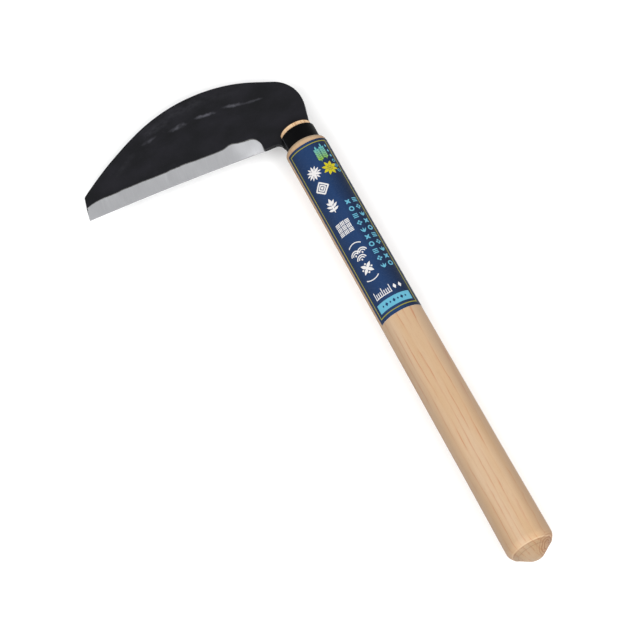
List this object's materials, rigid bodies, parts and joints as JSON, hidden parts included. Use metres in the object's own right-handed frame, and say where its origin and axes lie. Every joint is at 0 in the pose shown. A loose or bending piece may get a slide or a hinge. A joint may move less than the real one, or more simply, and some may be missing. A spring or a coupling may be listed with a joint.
{
  "type": "hand sickle",
  "caption": "One-hand grass sickle: arched forged blade with a straight ground edge, set across the end of an oval wooden handle with a black ferrule and a blue paper label.",
  "frame": {"origin": "the middle of the handle: halfway between its shoulder and its butt, on its axis and in the middle plane of the blade", "axes": "+Y along the handle from the butt to the blade; -X the way the blade reaches out; +Z out of the ground face of the blade, which is up as the sickle lies flat"},
  "size_m": [0.1491, 0.372, 0.0262],
  "materials": {
    "forged_iron": "black forge scale, satin, with faint hammer streaks",
    "hard_steel": "ground, with fine striations across the edge",
    "handle_wood": "plain sanded, no varnish",
    "black_steel": "gloss black",
    "wedge_wood": "plain sanded, no varnish",
    "pin_steel": "dull wire steel",
    "label_paper": "satin printed paper, navy with a thin yellow border"
  },
  "bodies": {
    "root": {"blade_body": "forged_iron", "edge_steel": "hard_steel", "handle": "handle_wood", "ferrule": "black_steel", "slot_wedge": "wedge_wood", "tang_pin": "pin_steel", "label": "label_paper"}
  },
  "joints": []
}
